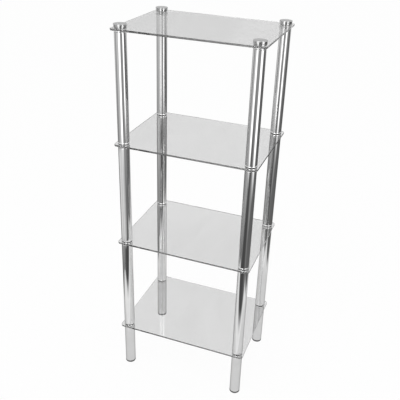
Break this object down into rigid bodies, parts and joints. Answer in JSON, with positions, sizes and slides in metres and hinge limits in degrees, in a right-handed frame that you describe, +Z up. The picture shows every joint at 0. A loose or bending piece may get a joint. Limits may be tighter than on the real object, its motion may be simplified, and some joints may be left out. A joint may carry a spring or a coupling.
{
  "type": "glass shelf unit",
  "caption": "Free-standing rectangular shelf unit of clear glass plates clamped between screwed chrome tube posts, with screw caps on top and plug feet.",
  "frame": {"origin": "on the floor, under the middle of the unit", "axes": "+Z up, -Y the front, +X to the right as seen from the front"},
  "size_m": [0.41, 0.3, 1.1125],
  "materials": {
    "clear_glass": "clear tempered float glass with polished edges",
    "tube_chrome": "bright chrome plating on steel tube",
    "plug_chrome": "bright chrome plating on turned steel",
    "cap_chrome": "bright chrome plating with a finely turned top face",
    "foot_plastic": "grey moulded plastic, fine matt"
  },
  "bodies": {
    "root": {"bottom_shelf": "clear_glass", "lower_shelf": "clear_glass", "upper_shelf": "clear_glass", "top_shelf": "clear_glass", "foot_front_left": "foot_plastic", "cap_front_left": "cap_chrome", "leg_tube_front_left": "tube_chrome", "leg_socket_front_left": "plug_chrome", "lower_tube_front_left": "tube_chrome", "lower_socket_front_left": "plug_chrome", "lower_stud_front_left": "plug_chrome", "middle_tube_front_left": "tube_chrome", "middle_socket_front_left": "plug_chrome", "middle_stud_front_left": "plug_chrome", "upper_tube_front_left": "tube_chrome", "upper_socket_front_left": "plug_chrome", "upper_stud_front_left": "plug_chrome", "foot_front_right": "foot_plastic", "cap_front_right": "cap_chrome", "leg_tube_front_right": "tube_chrome", "leg_socket_front_right": "plug_chrome", "lower_tube_front_right": "tube_chrome", "lower_socket_front_right": "plug_chrome", "lower_stud_front_right": "plug_chrome", "middle_tube_front_right": "tube_chrome", "middle_socket_front_right": "plug_chrome", "middle_stud_front_right": "plug_chrome", "upper_tube_front_right": "tube_chrome", "upper_socket_front_right": "plug_chrome", "upper_stud_front_right": "plug_chrome", "foot_back_left": "foot_plastic", "cap_back_left": "cap_chrome", "leg_tube_back_left": "tube_chrome", "leg_socket_back_left": "plug_chrome", "lower_tube_back_left": "tube_chrome", "lower_socket_back_left": "plug_chrome", "lower_stud_back_left": "plug_chrome", "middle_tube_back_left": "tube_chrome", "middle_socket_back_left": "plug_chrome", "middle_stud_back_left": "plug_chrome", "upper_tube_back_left": "tube_chrome", "upper_socket_back_left": "plug_chrome", "upper_stud_back_left": "plug_chrome", "foot_back_right": "foot_plastic", "cap_back_right": "cap_chrome", "leg_tube_back_right": "tube_chrome", "leg_socket_back_right": "plug_chrome", "lower_tube_back_right": "tube_chrome", "lower_socket_back_right": "plug_chrome", "lower_stud_back_right": "plug_chrome", "middle_tube_back_right": "tube_chrome", "middle_socket_back_right": "plug_chrome", "middle_stud_back_right": "plug_chrome", "upper_tube_back_right": "tube_chrome", "upper_socket_back_right": "plug_chrome", "upper_stud_back_right": "plug_chrome"}
  },
  "joints": []
}
